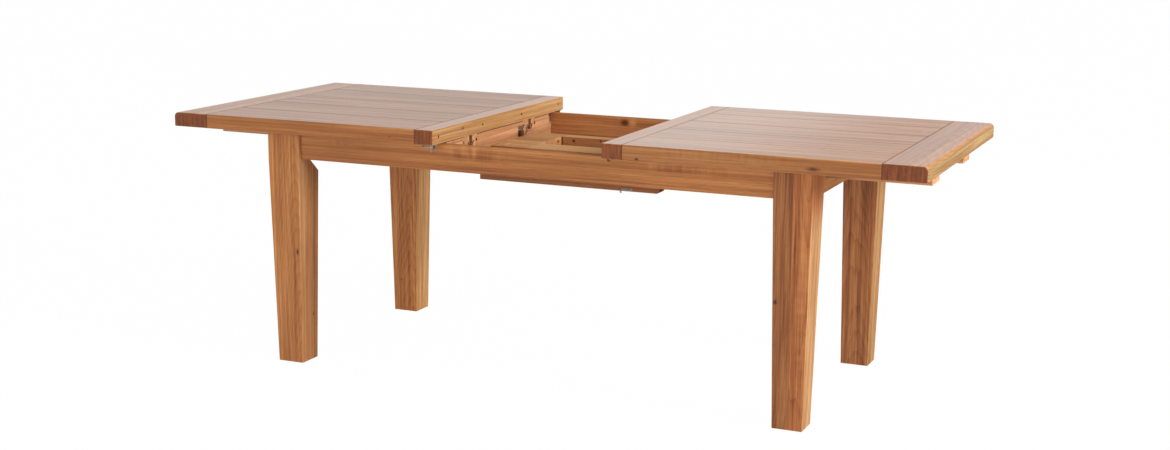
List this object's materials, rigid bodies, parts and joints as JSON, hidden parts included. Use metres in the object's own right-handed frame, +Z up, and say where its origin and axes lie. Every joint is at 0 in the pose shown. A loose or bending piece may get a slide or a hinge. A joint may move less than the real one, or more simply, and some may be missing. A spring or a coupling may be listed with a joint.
{
  "type": "extending dining table",
  "caption": "Solid wood dining table with tapered square legs and two sliding half tops that part over a frame storing a folding leaf.",
  "frame": {"origin": "on the floor under the middle of the table", "axes": "+X along the length towards the right half top, +Y to the back, +Z up"},
  "size_m": [2.38, 0.928, 0.78],
  "materials": {
    "top_wood": "clear satin lacquer",
    "frame_wood": "clear satin lacquer",
    "leaf_wood": "clear satin lacquer",
    "dowel_wood": "bare",
    "steel": "zinc plated",
    "glide": "low friction plastic"
  },
  "bodies": {
    "frame": {"apron_back": "frame_wood", "apron_front": "frame_wood", "apron_left": "frame_wood", "apron_right": "frame_wood", "corner_brace_back_left": "frame_wood", "corner_brace_back_right": "frame_wood", "corner_brace_front_left": "frame_wood", "corner_brace_front_right": "frame_wood", "cradle_clip": "steel", "cradle_screws": "steel", "cross_rail_left": "frame_wood", "cross_rail_right": "frame_wood", "leaf_catch": "steel", "leaf_cradle_back": "leaf_wood", "leaf_cradle_front": "leaf_wood", "leaf_hinges": "steel", "leaf_lower_battens": "leaf_wood", "leaf_lower_panel": "leaf_wood", "leaf_upper_battens": "leaf_wood", "leaf_upper_panel": "leaf_wood", "left_guide_rails_back": "frame_wood", "left_guide_rails_front": "frame_wood", "leg_back_left": "frame_wood", "leg_back_right": "frame_wood", "leg_bolts": "steel", "leg_front_left": "frame_wood", "leg_front_right": "frame_wood", "leg_nuts_and_washers": "steel", "right_guide_rails_back": "frame_wood", "right_guide_rails_front": "frame_wood", "top_glides": "glide"},
    "left_top": {"clip_plates": "steel", "left_clip_screws": "steel", "left_runner_back": "frame_wood", "left_runner_front": "frame_wood", "left_runner_screws": "steel", "left_runner_stops": "steel", "left_top_inner_end_board": "top_wood", "left_top_outer_end_board": "top_wood", "left_top_plank_1": "top_wood", "left_top_plank_2": "top_wood", "left_top_plank_3": "top_wood", "left_top_plank_4": "top_wood", "left_top_plank_5": "top_wood"},
    "right_top": {"alignment_dowels": "dowel_wood", "clip_keepers": "steel", "right_clip_screws": "steel", "right_runner_back": "frame_wood", "right_runner_front": "frame_wood", "right_runner_screws": "steel", "right_runner_stops": "steel", "right_top_inner_end_board": "top_wood", "right_top_outer_end_board": "top_wood", "right_top_plank_1": "top_wood", "right_top_plank_2": "top_wood", "right_top_plank_3": "top_wood", "right_top_plank_4": "top_wood", "right_top_plank_5": "top_wood"},
    "clip_front": {"clip_bail_front": "steel"},
    "clip_back": {"clip_bail_back": "steel"}
  },
  "joints": [
    {"name": "left_top_slide", "type": "slide", "parent": "frame", "child": "left_top", "axis": [1, 0, 0], "range_m": [0, 0.2698]},
    {"name": "right_top_slide", "type": "slide", "parent": "frame", "child": "right_top", "axis": [-1, 0, 0], "range_m": [0, 0.2698]},
    {"name": "clip_front_turn", "type": "hinge", "parent": "left_top", "child": "clip_front", "pos_m": [-0.281, -0.444, 0.728], "axis": [0, -1, 0], "range_deg": [0, 180]},
    {"name": "clip_back_turn", "type": "hinge", "parent": "left_top", "child": "clip_back", "pos_m": [-0.281, 0.444, 0.728], "axis": [0, -1, 0], "range_deg": [0, 180]}
  ]
}
